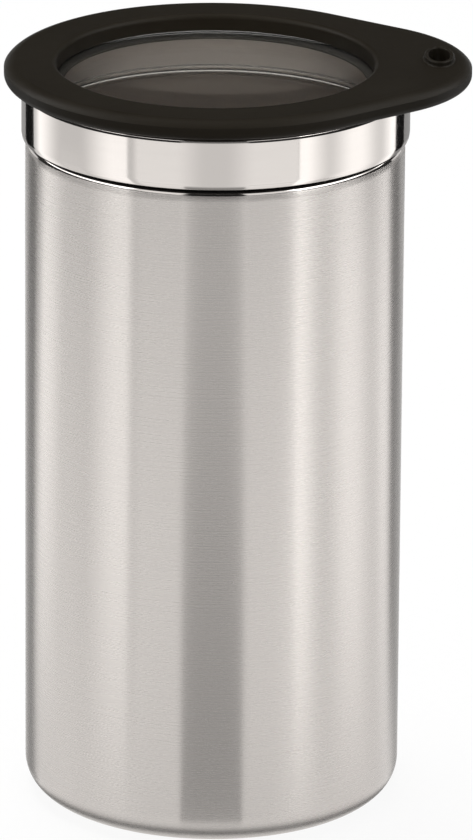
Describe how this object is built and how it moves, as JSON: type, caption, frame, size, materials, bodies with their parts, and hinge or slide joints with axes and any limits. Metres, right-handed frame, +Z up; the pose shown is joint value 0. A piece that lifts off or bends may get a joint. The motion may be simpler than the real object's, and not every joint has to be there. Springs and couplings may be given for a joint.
{
  "type": "coffee canister",
  "caption": "Tall steel canister with a polished collar and a black lift-off lid that has a round glass window, a grip tab and a hang hole.",
  "frame": {"origin": "Middle of the flat base, on the canister's axis.", "axes": "+Z is up along the canister's axis. +X points to the lid's grip tab. -Y is the front in the picture."},
  "size_m": [0.1253, 0.1134, 0.2082],
  "materials": {
    "brushed_steel": "satin brushed wall, polished collar",
    "black_plastic": "matte, finely textured",
    "grey_plastic": "matte, smooth",
    "clear_glass": "clear, polished",
    "grey_silicone": "matte, soft"
  },
  "bodies": {
    "canister": {"canister_body": "brushed_steel"},
    "lid": {"lid_frame": "black_plastic", "glass_pane": "clear_glass", "clamp_ring": "grey_plastic", "sealing_ring": "grey_silicone"}
  },
  "joints": [
    {"name": "lid_lift", "type": "slide", "parent": "canister", "child": "lid", "axis": [0, 0, 1], "range_m": [0, 0.04]}
  ]
}
